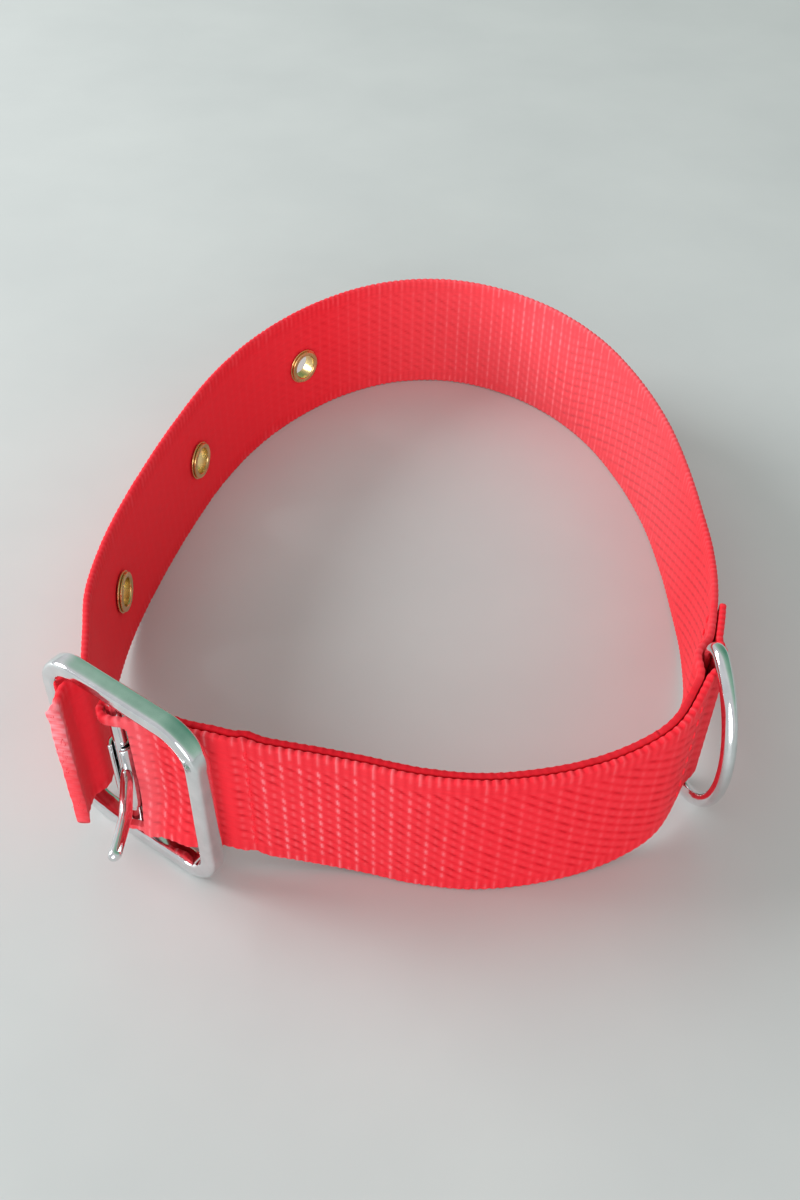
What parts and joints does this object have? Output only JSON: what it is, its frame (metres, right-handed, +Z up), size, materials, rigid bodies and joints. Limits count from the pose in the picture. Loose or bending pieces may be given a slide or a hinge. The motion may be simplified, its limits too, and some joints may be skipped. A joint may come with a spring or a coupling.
{
  "type": "dog collar",
  "caption": "Flat woven-webbing pet collar closed in a ring, with a chrome centre-bar prong buckle, a swinging chrome D-ring for the leash and brass eyelets in its tail.",
  "frame": {"origin": "on the floor under the middle of the collar's outline as it stands on its edge", "axes": "+Z up across the webbing's width, +Y from the buckle side of the ring to its far end, +X to the right when seen from the buckle side"},
  "size_m": [0.1306, 0.1841, 0.0435],
  "materials": {
    "webbing": "ribbed woven webbing, semi-matt",
    "thread": "sewing thread, slight sheen",
    "chrome": "bright plated",
    "brass": "plated brass, slightly dull"
  },
  "bodies": {
    "collar": {"strap": "webbing", "eyelet_1": "brass", "eyelet_2": "brass", "eyelet_3": "brass", "eyelet_washer_1": "brass", "eyelet_washer_2": "brass", "eyelet_washer_3": "brass", "buckle_seam": "thread", "ring_front_seam": "thread", "ring_end_seam": "thread"},
    "buckle": {"buckle_frame": "chrome", "centre_bar": "chrome"},
    "tongue": {"buckle_tongue": "chrome"},
    "leash_ring": {"d_ring": "chrome"}
  },
  "joints": [
    {"name": "buckle_rock", "type": "hinge", "parent": "collar", "child": "buckle", "pos_m": [-0.05064, -0.07135, 0.02175], "axis": [0, 0, 1], "range_deg": [-5.5, 0.5]},
    {"name": "tongue_swing", "type": "hinge", "parent": "buckle", "child": "tongue", "pos_m": [-0.05064, -0.07135, 0.0215], "axis": [0, 0, 1], "range_deg": [-66, 2]},
    {"name": "ring_swing", "type": "hinge", "parent": "collar", "child": "leash_ring", "pos_m": [0.05786, -0.05545, 0.02081], "axis": [0, 0, 1], "range_deg": [-3, 126]}
  ]
}
